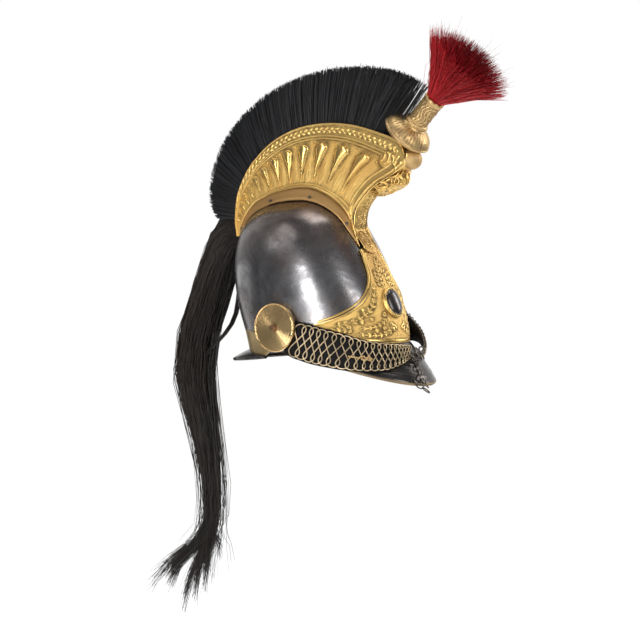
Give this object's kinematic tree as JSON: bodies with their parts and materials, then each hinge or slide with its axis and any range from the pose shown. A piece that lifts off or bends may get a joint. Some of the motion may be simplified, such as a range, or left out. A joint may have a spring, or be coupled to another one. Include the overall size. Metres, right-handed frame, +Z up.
{
  "type": "cuirassier helmet",
  "caption": "Steel cavalry helmet with gilt brass crest, mask and frontal plate, black horsehair brush and long mane, red tuft in a ball holder, peak, neck guard and chin strap with wire links",
  "frame": {"origin": "inside of the crown, where the wearer's head carries the helmet", "axes": "+X forward, +Y to the helmet's left, +Z up"},
  "size_m": [0.5383, 0.1972, 0.7725],
  "materials": {
    "steel": "dark patinated steel",
    "gilt_brass": "gilt brass, stamped and stippled",
    "dark_brass": "tarnished brass",
    "black_horsehair": "glossy black horsehair",
    "mane_horsehair": "dark brown-black horsehair",
    "red_hair": "red dyed hair",
    "black_leather": "black leather"
  },
  "bodies": {
    "root": {"brush": "black_horsehair", "crest_front": "gilt_brass", "crest_left": "gilt_brass", "crest_right": "gilt_brass", "flange_rivet_left_1": "gilt_brass", "flange_rivet_left_2": "gilt_brass", "flange_rivet_left_3": "gilt_brass", "flange_rivet_left_4": "gilt_brass", "flange_rivet_right_1": "gilt_brass", "flange_rivet_right_2": "gilt_brass", "flange_rivet_right_3": "gilt_brass", "flange_rivet_right_4": "gilt_brass", "frontal_plate": "gilt_brass", "holder_socket": "gilt_brass", "mane": "mane_horsehair", "mask": "gilt_brass", "medallion": "steel", "medallion_setting": "gilt_brass", "nape_band": "dark_brass", "neck_guard": "steel", "peak": "steel", "peak_edging": "dark_brass", "plate_bead_left": "gilt_brass", "plate_bead_right": "gilt_brass", "ring_chain": "dark_brass", "rosette_left": "gilt_brass", "rosette_right": "gilt_brass", "rosette_screw_left": "dark_brass", "rosette_screw_right": "dark_brass", "skull": "steel", "strap_chain_left": "dark_brass", "strap_chain_right": "dark_brass", "strap_clasp": "dark_brass", "strap_left": "black_leather", "strap_right": "black_leather", "tongue_rivet": "gilt_brass", "tuft": "red_hair", "tuft_holder": "gilt_brass"}
  },
  "joints": []
}
